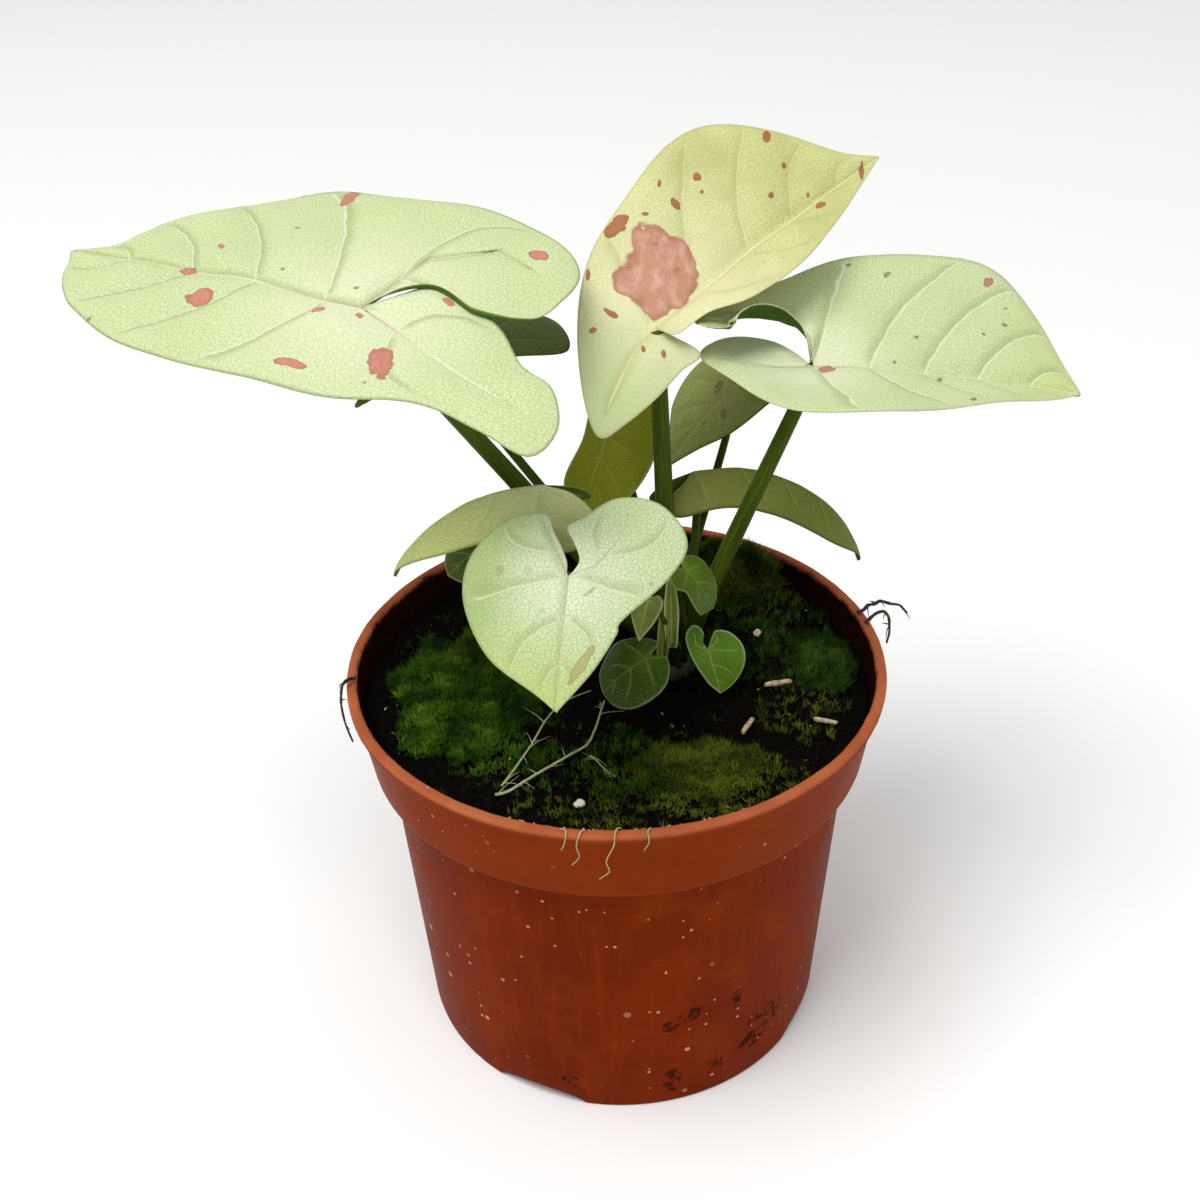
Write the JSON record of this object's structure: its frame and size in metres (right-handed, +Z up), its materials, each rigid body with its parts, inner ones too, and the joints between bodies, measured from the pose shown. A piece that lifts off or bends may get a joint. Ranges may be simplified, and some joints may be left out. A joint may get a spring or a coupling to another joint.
{
  "type": "potted syngonium",
  "caption": "Young arrowhead plant with cream, mint and pink heart-shaped leaves on slim green stalks, in a round terracotta-brown nursery pot with mossy soil",
  "frame": {"origin": "centre of the pot's foot pad, on the surface that the pot stands on", "axes": "+Z up; -Y to the front of the plant, where the heart-shaped front leaf hangs; +X to the right"},
  "size_m": [0.2131, 0.12, 0.1983],
  "materials": {
    "leaf_left_big": "satin living leaf, thin and finely veined",
    "leaf_top_pink": "satin living leaf, thin and finely veined",
    "leaf_right_mint": "satin living leaf, thin and finely veined",
    "leaf_front_heart": "satin living leaf, thin and finely veined",
    "leaf_left_arch": "satin living leaf, thin and finely veined",
    "leaf_upright": "satin living leaf, thin and finely veined",
    "leaf_back": "satin living leaf, thin and finely veined",
    "leaf_right_arch": "satin living leaf, thin and finely veined",
    "leaf_under_left": "satin living leaf, thin and finely veined",
    "leaf_small_olive": "satin living leaf, thin and finely veined",
    "leaf_small_notched": "satin living leaf, thin and finely veined",
    "leaf_small_round": "satin living leaf, thin and finely veined",
    "leaf_small_pale": "satin living leaf, thin and finely veined",
    "stalk": "smooth dark green stalk",
    "crown": "sheathed stem bases, matt",
    "pot": "terracotta-brown moulded plastic, soft sheen",
    "soil": "moist peat mix, rough",
    "moss": "short green moss",
    "wood_chip": "pale raw wood chip",
    "perlite": "white perlite grain",
    "root": "pale thin root",
    "dry_root": "dried black root"
  },
  "bodies": {
    "root": {"leaf_left_big": "leaf_left_big", "leaf_top_pink": "leaf_top_pink", "leaf_right_mint": "leaf_right_mint", "leaf_front_heart": "leaf_front_heart", "leaf_left_arch": "leaf_left_arch", "leaf_upright": "leaf_upright", "leaf_back": "leaf_back", "leaf_right_arch": "leaf_right_arch", "leaf_under_left": "leaf_under_left", "leaf_small_olive": "leaf_small_olive", "leaf_small_notched": "leaf_small_notched", "leaf_small_round": "leaf_small_round", "leaf_small_pale": "leaf_small_pale", "stalk_left_big": "stalk", "stalk_top_pink": "stalk", "stalk_right_mint": "stalk", "stalk_front_heart": "stalk", "stalk_left_arch": "stalk", "stalk_upright": "stalk", "stalk_back": "stalk", "stalk_right_arch": "stalk", "stalk_under_left": "stalk", "stalk_small_olive": "stalk", "stalk_small_notched": "stalk", "stalk_small_round": "stalk", "stalk_small_pale": "stalk", "crown": "crown", "pot": "pot", "soil": "soil", "moss_left": "moss", "moss_back": "moss", "moss_front": "moss", "moss_right": "moss", "moss_back_left": "moss", "wood_chip_right": "wood_chip", "wood_chip_edge": "wood_chip", "wood_chip_front": "wood_chip", "wood_chip_back": "wood_chip", "perlite_left": "perlite", "perlite_right": "perlite", "root_runner": "root", "root_side": "root", "root_fork": "root", "dry_root_right": "dry_root", "dry_root_hook": "dry_root", "dry_root_left": "dry_root"}
  },
  "joints": []
}
